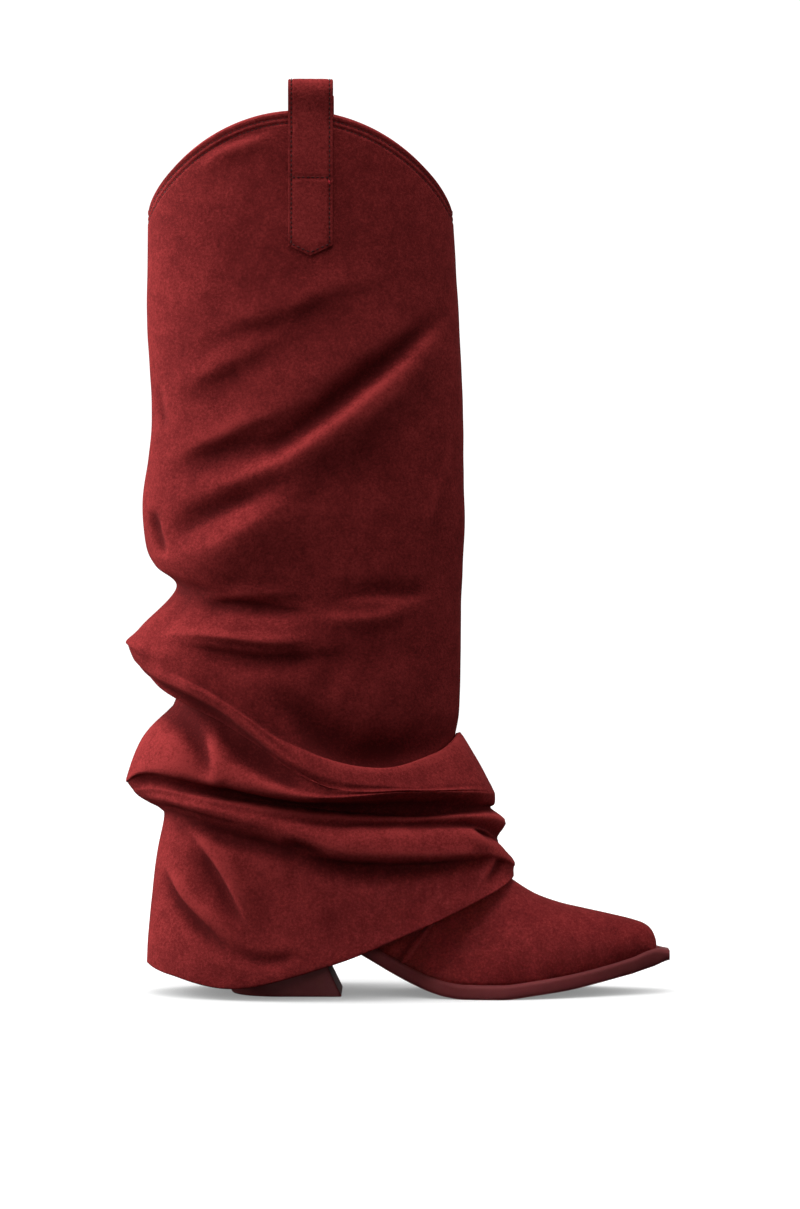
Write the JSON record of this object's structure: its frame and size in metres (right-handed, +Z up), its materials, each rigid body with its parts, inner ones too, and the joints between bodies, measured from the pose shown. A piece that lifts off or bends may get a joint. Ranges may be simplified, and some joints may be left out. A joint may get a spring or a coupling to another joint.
{
  "type": "slouch western boot",
  "caption": "Knee-high slouch western boot in wine-red suede for the right foot, with pointed snip toe, slanted block heel, scalloped collar, folded loose shaft and pull straps.",
  "frame": {"origin": "middle of the heel's flat rest face, on the floor plane", "axes": "+X to the toe, +Y to the inner side of the right foot, +Z up the shaft"},
  "size_m": [0.325, 0.114, 0.543],
  "materials": {
    "suede": "napped matt suede, wine red",
    "sole_rubber": "satin moulded sole, dark wine red",
    "heel_block": "satin moulded heel, dark wine red",
    "insole_cloth": "matt brushed lining cloth"
  },
  "bodies": {
    "root": {"outsole": "sole_rubber", "heel": "heel_block", "insole": "insole_cloth", "upper": "suede", "slouch_shaft": "suede", "pull_strap_outer": "suede", "pull_strap_inner": "suede"}
  },
  "joints": []
}
